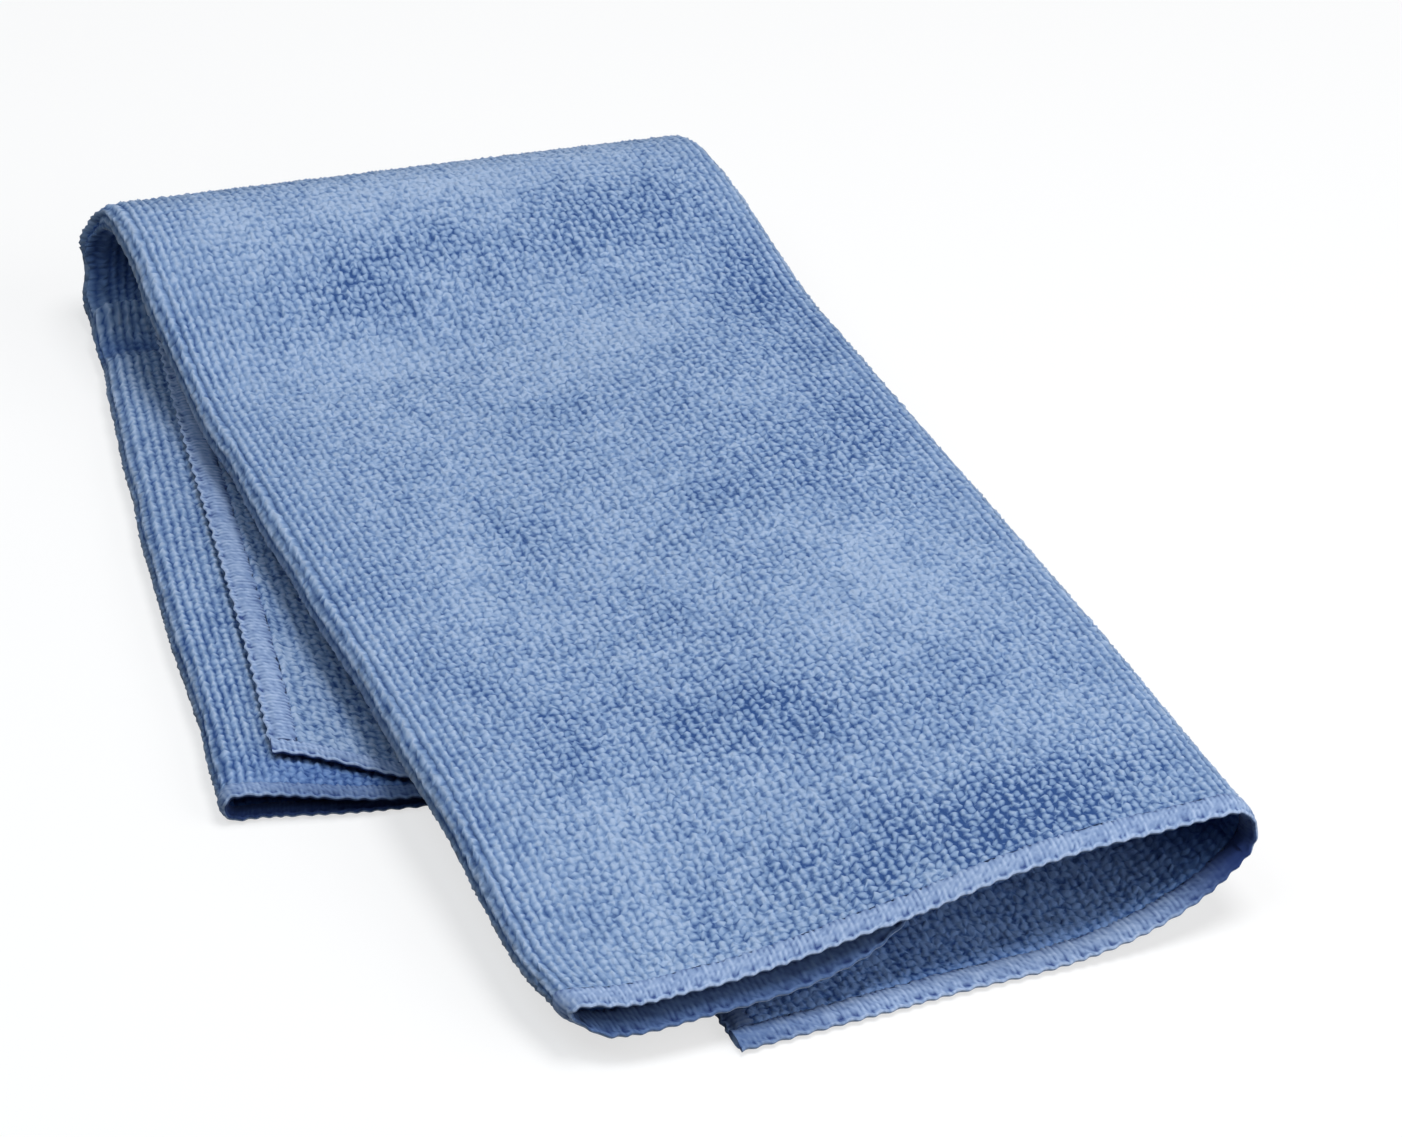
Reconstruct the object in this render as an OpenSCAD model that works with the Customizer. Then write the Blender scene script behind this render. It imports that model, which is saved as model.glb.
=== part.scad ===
// Terry microfibre detailing cloth: one hemmed sheet, folded in three lengthwise and once across.
// The upper half lies on the lower half and swings open about the cross fold. Units are millimetres.

/* [Cloth] */
// Cut width of the flat cloth, across the strip
cloth_w = 294; // [288:1:300]
// Cut length of the flat cloth, along the strip
cloth_l = 406; // [390:1:420]
// Thickness of the terry with its pile
cloth_t = 2; // [1.6:0.1:2.4]
// Air left between two layers that lie on each other
layer_gap = 0.3; // [0.2:0.05:0.6]

/* [Hem] */
// Depth of the overlocked hem from the cut edge
hem_w = 4; // [3:0.25:6]
// Thickness of the hem, where thread presses the pile flat
hem_t = 1.8; // [1.4:0.1:2]

/* [Fold in three] */
// Width of the folded strip at its upper end
strip_w = 124; // [118:1:132]
// Angle between the two long folds
strip_taper = 1.9; // [1.2:0.1:2.4]
// Cut width of the outer flap, which it also has at the lower end
outer_flap_w = 94; // [90:1:98]
// How much less the outer flap reaches at the upper end, where it lies slack
upper_slack = 2; // [0.5:0.5:5]
// How much more the outer flap reaches at the cross fold, where it is drawn taut
fold_draw = 6; // [3:0.5:9]
// Height of the roll at the left long fold, between middle surfaces
left_fold_h = 5; // [4.5:0.25:6]
// Height of the roll at the right long fold, between middle surfaces
right_fold_h = 9.5; // [8:0.25:10.5]
// Distance over which the inner flap settles against the top layer
left_run = 32; // [24:1:40]
// Distance over which the outer flap leaves the right fold
right_run = 48; // [40:1:54]

/* [Cross fold] */
// Length of the upper half, from its end hem to the cross fold
upper_l = 219; // [214:1:228]
// Angle between the cross fold and a square fold
fold_skew = 5.3; // [3:0.1:6]
// Radius of the hollow inside the cross fold
fold_hollow_r = 3.5; // [2:0.25:4.5]
// Slit between the upper half and the cross fold that it swings on
fold_slit = 0.3; // [0.2:0.05:0.5]
// Distance of the swing axis behind the cross fold's start
axis_back = 11; // [9:0.5:13]
// Distance over which the upper half climbs to the cross fold
climb_run = 50; // [40:1:60]

/* [Mouth of the upper end] */
// Height of the open right fold at the upper end, over the ground
mouth_h = 22; // [19:0.5:24]
// Angle at which the outer flap leaves the open right fold
mouth_angle = 32; // [26:1:36]
// Height of the left fold's underside at the upper end, over the ground
left_lift = 5; // [3:0.5:6.5]
// Distance from the left fold to where the top layer starts to rise
rise_from = 27; // [20:1:32]
// Distance from the left fold to where the top layer is at its full height
rise_to = 99; // [92:1:105]

/* [Hidden] */

TERRY = [0.44, 0.56, 0.78];
THREAD = [0.58, 0.66, 0.84];

// Middle surfaces of two layers that lie on each other
pitch = cloth_t + layer_gap;
left_r = left_fold_h / 2;
right_r = right_fold_h / 2;
// Centre line of the right roll at the upper end
right_x = strip_w - right_r;

// Reach of the outer flap from the right fold at the upper end and at the cross fold
upper_reach = outer_flap_w - upper_slack;
fold_reach = outer_flap_w + fold_draw;

// Places across the flat cloth, measured from the inner flap's cut edge
right_end_s = cloth_w - outer_flap_w;
right_start_s = right_end_s - PI * right_r;
left_end_s = right_start_s - (right_x - left_r);
left_start_s = left_end_s - PI * left_r;

// Cross fold: radius of the outer layer's middle surface, its length round the bend and its axis height
fold_r = max(right_fold_h, left_fold_h + pitch) + cloth_t / 2 + fold_hollow_r;
fold_len = PI * fold_r;
axis_z = cloth_t / 2 + fold_r;
fold_at = [0, upper_l];
fold_out = [sin(fold_skew), cos(fold_skew)];
square_to_right = [cos(strip_taper), sin(strip_taper)];

// Heights of the top layer over the lower half, and at the upper end, which lies on the ground
outer_edge_x = right_x - fold_reach - upper_l * tan(strip_taper);
rest_left_z = cloth_t / 2 + pitch + 2 * (roll_gap(outer_edge_x) + pitch);
rest_right_z = cloth_t / 2 + pitch + 2 * right_fold_h;
end_left_z = cloth_t / 2 + left_fold_h + left_lift;
end_right_z = mouth_h - cloth_t / 2;
climbed_z = axis_z + fold_r;

// The upper half is off the ground before it meets the lower half's end
lower_end_left = across_fold([0, cloth_l]);
lower_end_right = across_fold([strip_w - cloth_l * tan(strip_taper), cloth_l]);
lift_from = hem_w;
lift_to = min(lower_end_left.y, lower_end_right.y) - hem_w / 2;

// Rows along the cloth and columns across it in each sheet
UPPER_ROWS = 14;
FOLD_ROWS = 10;
LOWER_ROWS = 6;
FLAP_COLS = 9;
TOP_COLS = 13;
LEFT_COLS = 6;
RIGHT_COLS = 7;
// Rounding of the hem's cut edge: share of its depth and of its thickness
HEM_EDGE = [[0, 0.5], [0.2, 1], [1, 1]];

// Ends of the sheets along the cloth
UPPER_CUT = ["upper", 0];
UPPER_HEM = ["upper", hem_w];
SWING_CUT = ["fold", -fold_slit];
FOLD_TOP = ["fold", 0];
FOLD_BASE = ["fold", fold_len];
LOWER_HEM = ["lower", hem_w];
LOWER_CUT = ["lower", 0];

function mix(a, b, share) = a + (b - a) * share;
function ease(v, from, to) = let (q = min(1, max(0, (v - from) / (to - from)))) q * q * (3 - 2 * q);

// Plan of a point that the cross fold turns over, on the lower half
function across_fold(p) = p - fold_out * (2 * (p - fold_at) * fold_out - fold_len);

// Depth of the inner flap below the top layer: the left roll, then one pitch
function roll_gap(x) = mix(left_fold_h, pitch, ease(x, left_r, left_r + left_run));

// Height of the top layer's middle surface on the upper half
function top_z(p) =
    let (lift = ease(p.y, lift_from, lift_to))
    let (left_z = mix(end_left_z, rest_left_z, lift))
    let (right_z = mix(end_right_z, rest_right_z, lift))
    let (lying_z = mix(left_z, right_z, ease(p.x, rise_from, rise_to)))
    mix(lying_z, climbed_z, ease((p - fold_at) * fold_out, -climb_run, 0));

// Angle that the right roll stands open: all of it at the upper end, none over the lower half
function open_angle(y) = mouth_angle * (1 - ease(y, lift_from, lift_to));

// Depth of the outer flap below the top layer, at a distance from the right roll. It leaves the roll
// at the open angle, and settles on the ground at the upper end and under the inner flap elsewhere.
function flap_gap(p, y, from_roll) =
    let (open = open_angle(y))
    let (share = min(1, from_roll / right_run))
    let (on_ground = top_z(p) - cloth_t / 2)
    let (in_stack = roll_gap(p.x) + pitch)
    let (settled = mix(on_ground, in_stack, ease(p.y, lift_from, lift_to)))
    mix(right_r * (1 + cos(open)), settled, ease(share, 0, 1))
    + right_run * tan(open) * share * pow(1 - share, 2);

function left_turn(s) = 180 - (s - left_start_s) / left_r * 180 / PI;
function right_turn(s, y) = (s - right_start_s) / (right_end_s - right_start_s) * (180 - open_angle(y));
function right_line(y) = [right_x - y * tan(strip_taper), y];
// Reach of the outer flap, from the upper end to the cross fold and on to the lower end
function flap_reach(y) =
    y < upper_l ? mix(upper_reach, fold_reach, ease(y, 0, upper_l))
    : mix(fold_reach, outer_flap_w, ease(y, upper_l + fold_len, cloth_l));

// Plan of the folded strip before the cross fold: s across the flat cloth, y along the strip,
// off out from the middle surface
function strip_plan(s, y, off) =
    s <= left_start_s ? [left_r + left_start_s - s, y]
    : s <= left_end_s ? [left_r - (left_r + off) * sin(left_turn(s)), y]
    : s <= right_start_s ?
        let (share = (s - left_end_s) / (right_start_s - left_end_s))
        [mix(left_r, right_line(y).x, share), y]
    : s <= right_end_s ? right_line(y) + square_to_right * (right_r + off) * sin(right_turn(s, y))
    : let (reach = (s - right_end_s) * flap_reach(y) / outer_flap_w)
        right_line(y) + square_to_right * (right_r * sin(open_angle(y)) - reach);

// Depth below the top layer's middle surface at that plan point
function strip_depth(s, y, p, off) =
    s <= left_start_s ? roll_gap(p.x) + off
    : s <= left_end_s ? left_r - (left_r + off) * cos(left_turn(s))
    : s <= right_start_s ? -off
    : s <= right_end_s ? right_r - (right_r + off) * cos(right_turn(s, y))
    : flap_gap(p, y, s - right_end_s) + off;

// The strip's point in space: flat on top, round the cross fold, or turned over on the lower half
function folded(p, depth) =
    let (past = (p - fold_at) * fold_out)
    let (on_fold = p - fold_out * past)
    let (turn = past / fold_r * 180 / PI)
    let (out = on_fold + fold_out * (fold_r - depth) * sin(turn))
    let (under = across_fold(p))
    past <= 0 ? [p.x, p.y, top_z(p) - depth]
    : past < fold_len ? [out.x, out.y, axis_z + (fold_r - depth) * cos(turn)]
    : [under.x, under.y, cloth_t / 2 + depth];

// The cut ends slant on the outer flap, because the right fold is turned by the taper
function cut_y(s) = -max(0, s - right_start_s) * sin(strip_taper);
function stop_y(s, off, stop) =
    let (start = strip_plan(s, upper_l, off))
    let (step = strip_plan(s, upper_l + 1, off) - start)
    stop[0] == "upper" ? cut_y(s) + stop[1]
    : stop[0] == "lower" ? cut_y(s) + cloth_l - stop[1]
    : upper_l + (stop[1] - (start - fold_at) * fold_out) / (step * fold_out);

function cloth_point(s, off, from, to, share) =
    let (y = mix(stop_y(s, off, from), stop_y(s, off, to), share))
    let (p = strip_plan(s, y, off))
    folded(p, strip_depth(s, y, p, off));

// The base layer's outline, and the origin in the middle of it
base_outline = [
    for (c = [[left_end_s, FOLD_BASE], [right_start_s, FOLD_BASE],
              [right_start_s, LOWER_HEM], [left_end_s, LOWER_HEM]])
        let (corner = cloth_point(c[0], 0, c[1], c[1], 0))
        [corner.x, corner.y]
];
base_middle = (base_outline[0] + base_outline[1] + base_outline[2] + base_outline[3]) / 4;

// Columns and rows of a sheet: each has its place and its share of the thickness
function columns(from, to, count) = [for (i = [0:count]) [mix(from, to, i / count), cloth_t / 2]];
function rows(count) = [for (j = [0:count]) [j / count, 1]];
// Rows that crowd toward both ends, where the upper half bends most
function end_rows(count) = [for (j = [0:count]) [(1 - cos(180 * j / count)) / 2, 1]];
function hem_columns(edge_s, inner_s) = [for (h = HEM_EDGE) [mix(edge_s, inner_s, h[0]), hem_t / 2 * h[1]]];
function with_half(cols, half) = [for (c = cols) [c[0], half]];
function reversed(list) = [for (i = [len(list) - 1:-1:0]) list[i]];

inner_cols = columns(hem_w, left_start_s, FLAP_COLS);
left_cols = columns(left_start_s, left_end_s, LEFT_COLS);
top_cols = columns(left_end_s, right_start_s, TOP_COLS);
right_cols = columns(right_start_s, right_end_s, RIGHT_COLS);
outer_cols = columns(right_end_s, cloth_w - hem_w, FLAP_COLS);
inner_hem_cols = hem_columns(0, hem_w);
outer_hem_cols = reversed(hem_columns(cloth_w, cloth_w - hem_w));

function tail(list) = [for (i = [1:len(list) - 1]) list[i]];
end_hem_cols = concat(
    inner_hem_cols,
    with_half(concat(tail(inner_cols), tail(left_cols), tail(top_cols), tail(right_cols), tail(outer_cols)),
              hem_t / 2),
    tail(outer_hem_cols)
);

// Closed sheet of cloth between two stops, with its two faces and the rim round them. A rim's
// diagonals all run the same way along the cloth, so that neighbouring sheets meet face to face.
module sheet(cols, row_list, from, to) {
    n = len(cols);
    m = len(row_list);
    faces_of = n * m;
    points = [
        for (side = [1, -1]) for (r = row_list) for (c = cols)
            cloth_point(c[0], side * c[1] * r[1], from, to, r[0])
    ];
    grid = [for (j = [0:m - 2]) for (i = [0:n - 2]) let (k = j * n + i) [k, k + 1, k + n + 1, k + n]];
    rim = concat(
        [for (i = [0:n - 1]) i],
        [for (j = [1:m - 1]) j * n + n - 1],
        [for (i = [n - 2:-1:0]) (m - 1) * n + i],
        [for (j = [m - 2:-1:1]) j * n]
    );
    outer = [for (q = grid) each [[q[0], q[2], q[1]], [q[0], q[3], q[2]]]];
    inner = [for (f = outer) [f[2] + faces_of, f[1] + faces_of, f[0] + faces_of]];
    wall = [
        for (i = [0:len(rim) - 1])
            let (a = rim[i], b = rim[(i + 1) % len(rim)])
            let (c = a + faces_of, d = b + faces_of)
            each a < b ? [[a, b, d], [a, d, c]] : [[a, b, c], [b, d, c]]
    ];
    translate([-base_middle.x, -base_middle.y, 0])
        polyhedron(points, concat(outer, inner, wall), convexity = 8);
}

module upper_run(cols) { sheet(cols, end_rows(UPPER_ROWS), UPPER_HEM, SWING_CUT); }
module fold_run(cols) { sheet(cols, rows(FOLD_ROWS), FOLD_TOP, FOLD_BASE); }
module lower_run(cols) { sheet(cols, rows(LOWER_ROWS), FOLD_BASE, LOWER_HEM); }

module upper_sheet(cols) { color(TERRY) upper_run(cols); }
module fold_sheet(cols) { color(TERRY) fold_run(cols); }
module lower_sheet(cols) { color(TERRY) lower_run(cols); }
module upper_side_hem(cols) { color(THREAD) upper_run(cols); }
module fold_side_hem(cols) { color(THREAD) fold_run(cols); }
module lower_side_hem(cols) { color(THREAD) lower_run(cols); }

module upper_top_layer() { upper_sheet(top_cols); }
module upper_left_fold() { upper_sheet(left_cols); }
module upper_inner_flap() { upper_sheet(inner_cols); }
module upper_right_fold() { upper_sheet(right_cols); }
module upper_outer_flap() { upper_sheet(outer_cols); }
module upper_end_hem() { color(THREAD) sheet(end_hem_cols, HEM_EDGE, UPPER_CUT, UPPER_HEM); }
module upper_inner_hem() { upper_side_hem(inner_hem_cols); }
module upper_outer_hem() { upper_side_hem(outer_hem_cols); }

module cross_fold_top_layer() { fold_sheet(top_cols); }
module cross_fold_left_edge() { fold_sheet(left_cols); }
module cross_fold_inner_flap() { fold_sheet(inner_cols); }
module cross_fold_right_edge() { fold_sheet(right_cols); }
module cross_fold_outer_flap() { fold_sheet(outer_cols); }
module cross_fold_inner_hem() { fold_side_hem(inner_hem_cols); }
module cross_fold_outer_hem() { fold_side_hem(outer_hem_cols); }

// The base layer is flat, so it is the plain outline of its four corners
module lower_base_layer() {
    color(TERRY) linear_extrude(cloth_t) polygon([for (c = base_outline) c - base_middle]);
}
module lower_left_fold() { lower_sheet(left_cols); }
module lower_inner_flap() { lower_sheet(inner_cols); }
module lower_right_fold() { lower_sheet(right_cols); }
module lower_outer_flap() { lower_sheet(outer_cols); }
module lower_end_hem() { color(THREAD) sheet(end_hem_cols, reversed_edge, LOWER_HEM, LOWER_CUT); }
module lower_inner_hem() { lower_side_hem(inner_hem_cols); }
module lower_outer_hem() { lower_side_hem(outer_hem_cols); }

// The lower end's rounding runs from the hem's inner line to its cut edge
reversed_edge = [for (h = reversed(HEM_EDGE)) [1 - h[0], h[1]]];

upper_top_layer();
upper_left_fold();
upper_inner_flap();
upper_right_fold();
upper_outer_flap();
upper_end_hem();
upper_inner_hem();
upper_outer_hem();
cross_fold_top_layer();
cross_fold_left_edge();
cross_fold_inner_flap();
cross_fold_right_edge();
cross_fold_outer_flap();
cross_fold_inner_hem();
cross_fold_outer_hem();
lower_base_layer();
lower_left_fold();
lower_inner_flap();
lower_right_fold();
lower_outer_flap();
lower_end_hem();
lower_inner_hem();
lower_outer_hem();
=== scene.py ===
"""Dresses the folded terry cloth: looped pile in rows, overlocked hems and a plain studio."""

import math

import bmesh
import bpy
import numpy as np
from bpy.props import FloatProperty, FloatVectorProperty, IntProperty, PointerProperty
from mathutils import Matrix, Vector


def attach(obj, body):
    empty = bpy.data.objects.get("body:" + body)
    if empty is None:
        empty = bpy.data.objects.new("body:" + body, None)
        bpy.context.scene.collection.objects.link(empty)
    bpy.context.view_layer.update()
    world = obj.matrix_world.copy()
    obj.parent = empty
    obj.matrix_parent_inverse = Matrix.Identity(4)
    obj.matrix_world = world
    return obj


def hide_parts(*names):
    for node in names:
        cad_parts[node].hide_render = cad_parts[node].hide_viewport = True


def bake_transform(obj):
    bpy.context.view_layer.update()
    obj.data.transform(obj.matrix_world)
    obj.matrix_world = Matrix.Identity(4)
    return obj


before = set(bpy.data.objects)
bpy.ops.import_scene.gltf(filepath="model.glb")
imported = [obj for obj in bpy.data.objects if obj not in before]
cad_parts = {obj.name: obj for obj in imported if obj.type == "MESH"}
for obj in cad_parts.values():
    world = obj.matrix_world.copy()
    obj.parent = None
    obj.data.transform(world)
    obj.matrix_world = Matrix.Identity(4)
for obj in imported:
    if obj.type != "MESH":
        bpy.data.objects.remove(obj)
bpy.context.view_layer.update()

bl_info = {
    "name": "Folded terry cloth",
    "version": (1, 0, 0),
    "blender": (4, 5, 0),
    "location": "View3D > Sidebar > Cloth",
    "description": "Builds the pile, the overlocked hems and the studio of a folded detailing cloth",
    "category": "Object",
}

MM = 0.001
WHITE = (1.0, 1.0, 1.0, 1.0)
UPPER, LOWER = "upper_half", "lower_half"

# Seeds of the pile's loops, of the stitches and of each use of the soft noise
PILE_SEEDS = {"upper": 100, "cross_fold": 200, "lower": 300}
HEM_SEED = 400
NOISE_SEEDS = {"puff": 11, "roll": 23, "frill": 31, "nap": 41, "fine nap": 43, "seam": 57, "needle": 61}


def length(name, description, millimetres):
    """Property for a size along or across the cloth."""
    metres = millimetres * MM
    return FloatProperty(name=name, description=description, default=metres, unit="LENGTH", precision=5)


def angle(name, description, degrees):
    """Property for an angle of the fold or of the camera."""
    return FloatProperty(name=name, description=description, default=math.radians(degrees), unit="ROTATION")


def colour(name, description, rgb):
    """Property for a colour, in linear light."""
    return FloatVectorProperty(
        name=name, description=description, default=rgb, subtype="COLOR", min=0.0, max=1.0
    )


def power(name, description, watts):
    """Property for the power of a lamp."""
    return FloatProperty(name=name, description=description, default=watts, unit="POWER")


class ClothFoldSizes(bpy.types.PropertyGroup):
    """Cut size of the cloth and the places of its folds."""

    cloth_w: length("Cut width", "Width of the flat cloth, across the strip", 294)
    cloth_l: length("Cut length", "Length of the flat cloth, along the strip", 406)
    cloth_t: length("Thickness", "Thickness of the terry with its pile", 2)
    layer_gap: length("Layer gap", "Air between two layers that lie on each other", 0.3)
    hem_w: length("Hem depth", "Depth of the overlocked hem from the cut edge", 4)
    hem_t: length("Hem thickness", "Thickness of the hem between its thread bars", 1.8)
    strip_w: length("Strip width", "Width of the folded strip at its upper end", 124)
    strip_taper: angle("Strip taper", "Angle between the two long folds", 1.9)
    outer_flap_w: length("Outer flap", "Cut width of the outer flap from the right fold", 94)
    upper_slack: length("Upper slack", "How much less the outer flap reaches at the upper end", 2)
    fold_draw: length("Fold draw", "How much more the outer flap reaches at the cross fold", 6)
    left_fold_h: length("Left roll", "Height of the roll at the left long fold", 5)
    right_fold_h: length("Right roll", "Height of the roll at the right long fold", 9.5)
    left_run: length("Left run", "Distance over which the inner flap settles", 32)
    right_run: length("Right run", "Distance over which the outer flap leaves the right fold", 48)
    upper_l: length("Upper half", "Length of the upper half up to the cross fold", 219)
    fold_skew: angle("Fold skew", "Angle between the cross fold and a square fold", 5.3)
    fold_hollow_r: length("Fold hollow", "Radius of the hollow inside the cross fold", 3.5)
    climb_run: length("Climb", "Distance over which the upper half climbs to the cross fold", 50)
    mouth_h: length("Mouth height", "Height of the open right fold at the upper end", 22)
    mouth_angle: angle("Mouth angle", "Angle at which the outer flap leaves the open fold", 32)
    left_lift: length("Left lift", "Height of the left fold's underside at the upper end", 5)
    rise_from: length("Rise from", "Where the top layer starts to rise to the mouth", 27)
    rise_to: length("Rise to", "Where the top layer is at its full height", 99)


class ClothCreaseSizes(bpy.types.PropertyGroup):
    """Small uneven forms that handling leaves in the folded cloth."""

    puff: length("Puff", "Rise of the top layer between its long folds", 1.1)
    puff_patch: length("Puff patch", "Size of one soft swelling of the top layer", 42)
    roll_wave: length("Roll wave", "Unevenness of the left roll's edge", 0.5)
    roll_patch: length("Roll patch", "Length of one wave along the left roll", 11)
    rear_flare: length("Rear flare", "Widening of the left roll at the cross fold", 3)
    rear_pinch: length("Rear pinch", "Narrowing of the right roll at the cross fold", 2.2)
    rear_squash: length("Rear squash", "How much flatter the left roll is at the cross fold", 1.9)
    rear_dent: length("Rear dent", "Groove in the left roll's edge at the cross fold", 4.2)
    corner_tuck: length("Corner tuck", "Pull back of the left corner at the upper end", 3)
    corner_round: length("Corner round", "How far the left corner of the upper end is rounded inward", 4)
    mouth_push: length("Mouth push", "How far the outer flap's end bows out below the open fold", 3)
    inner_push: length("Inner push", "How far the inner flap stands out before the upper end", 1.5)
    nose_squash: length("Nose squash", "How much flatter the left roll is at the upper end", 1.8)
    inner_droop: length("Inner droop", "How far the inner flap's hem hangs down at the upper end", 2.2)
    inner_tuck: length("Inner tuck", "How far the inner flap's corner is drawn back at the upper end", 4)
    inner_reach: length("Inner reach", "How much farther the inner flap reaches at the upper end", 6)
    lower_out: length("Lower out", "How much farther the lower end lies out than an even fold puts it", 2)
    base_back: length("Base back", "How far the base layer's end lies behind the flap above it", 0.4)
    lower_push: length("Lower push", "How much farther the lower end lies beyond its left corner", 1.5)
    lower_in: length("Lower in", "How far the lower half's left corner is drawn inward", 2.5)
    flap_push: length("Flap push", "How much farther the outer flap's lower end lies beyond its corner", 9)
    crest: length("Crest", "Height of the ridge where the lower half comes out of the cross fold", 4)
    crease: length("Crease", "Depth of the crease across the lower half's left roll", 1.2)
    frill: length("Frill", "Waviness of the end hems", 0.35)


class ClothPileSizes(bpy.types.PropertyGroup):
    """Looped pile of the terry."""

    wale_pitch: length("Wale pitch", "Distance between two rows of loops", 1.67)
    loop_pitch: length("Loop pitch", "Distance between two loops of a row", 1.45)
    pile_depth: length("Pile depth", "Height of a loop over the ground of the cloth", 0.85)
    loop_jitter: length("Loop jitter", "How far a loop stands from its even place", 0.24)
    seed: IntProperty(name="Seed", description="Number that the loops' unevenness follows from", default=7)


class ClothStitchSizes(bpy.types.PropertyGroup):
    """Overlock stitches of the hem."""

    upper_depth: length("Upper depth", "Depth of the upper end's hem that the pile leaves bare", 4.4)
    lower_depth: length("Lower depth", "Depth of the lower end's hem that the pile leaves bare", 2.6)
    side_depth: length("Side depth", "Depth of the side hems that the pile leaves bare", 4.6)
    bar_pitch: length("Bar pitch", "Distance between two thread bars over the hem", 0.9)
    bar_depth: length("Bar depth", "Height of a thread bar over the groove beside it", 0.14)
    needle_pitch: length("Needle pitch", "Distance between two needle holes behind the edge cord", 3)
    dot_depth: length("Hole depth", "Depth of a needle hole", 0.25)
    scallop: length("Scallop", "How far the edge cord bows out at a needle hole", 0.5)
    bite: length("Bite", "Unevenness of the bars' inner ends", 0.35)


class ClothColours(bpy.types.PropertyGroup):
    """Colours of the pile, the thread and the studio."""

    # The pile's ramp paints light and shade over its blue: lit loop tops, shaded loop sides, and painted
    # shade in the gaps between the loops
    loop_light: colour("Loop", "Top of a pile loop", (0.36, 0.46, 0.635))
    loop_mid: colour("Loop side", "Side of a pile loop", (0.17, 0.268, 0.455))
    loop_dark: colour("Gap", "Ground of the cloth between the loops", (0.03, 0.075, 0.22))
    # The thread's ramp paints light and shade over its blue: lit bar tops, shaded bar sides, and painted
    # shade in the needle holes
    thread_light: colour("Thread", "Top of an overlock thread bar", (0.38, 0.48, 0.67))
    thread_mid: colour("Thread side", "Side of an overlock thread bar", (0.19, 0.28, 0.48))
    thread_dark: colour("Needle hole", "Needle hole behind the edge cord", (0.03, 0.06, 0.2))
    # Tints of painted shade, for the pile and the hems where the folds hide them or shade them
    shade_tint: colour("Pile shade tint", "Tint of the pile that the folds hide", (0.48, 0.68, 1.0))
    thread_shade_tint: colour("Thread shade tint", "Tint of the hems that the folds hide", (0.3, 0.39, 0.53))
    floor: colour("Floor", "Plain pale floor", (0.3, 0.3, 0.3))


class ClothStudio(bpy.types.PropertyGroup):
    """Camera and light of the studio."""

    azimuth: angle("Azimuth", "Camera's turn round the cloth from its front", -26.08)
    elevation: angle("Elevation", "Camera's height angle", 35.95)
    roll: angle("Roll", "Camera's turn about its own line of sight", 4.13)
    distance: length("Distance", "From the camera to the point that it looks at", 877)
    aim_x: length("Aim X", "Point on the floor that the camera looks at, across", 38.5)
    aim_y: length("Aim Y", "Point on the floor that the camera looks at, along", -26.48)
    lens: FloatProperty(name="Lens", description="Focal length", default=124.5, unit="CAMERA")
    key_power: power("Key light", "Power of the soft light overhead", 6.9)
    fill_power: power("Fill light", "Power of the soft light at the right", 4.2)
    side_power: power("Side light", "Power of the soft light at the left", 2.3)
    side_tint: colour("Side tint", "Cool colour of the soft light at the left", (0.78, 0.89, 1.0))
    ambient: FloatProperty(name="Ambient", description="Strength of the even light all round", default=0.05)


def mix(a, b, share):
    """Value between a and b."""
    return a + (b - a) * share


def ease(value, start, end):
    """Smooth step from 0 at start to 1 at end."""
    share = np.clip((value - start) / (end - start), 0.0, 1.0)
    return share * share * (3.0 - 2.0 * share)


def hump(value, middle, width):
    """Soft hump of height 1 round a middle."""
    return np.exp(-(((value - middle) / width) ** 2))


def soft_noise(u, v, use):
    """Noise from -1 to 1 that changes over about one unit of u or v, with its own seed for each use."""
    size = 64
    table = np.random.default_rng(NOISE_SEEDS[use]).uniform(-1.0, 1.0, (size, size))
    u0 = np.floor(u).astype(int)
    v0 = np.floor(v).astype(int)
    du = ease(u - u0, 0.0, 1.0)
    dv = ease(v - v0, 0.0, 1.0)

    def at(i, j):
        return table[(u0 + i) % size, (v0 + j) % size]

    return mix(mix(at(0, 0), at(1, 0), du), mix(at(0, 1), at(1, 1), du), dv)


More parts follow.
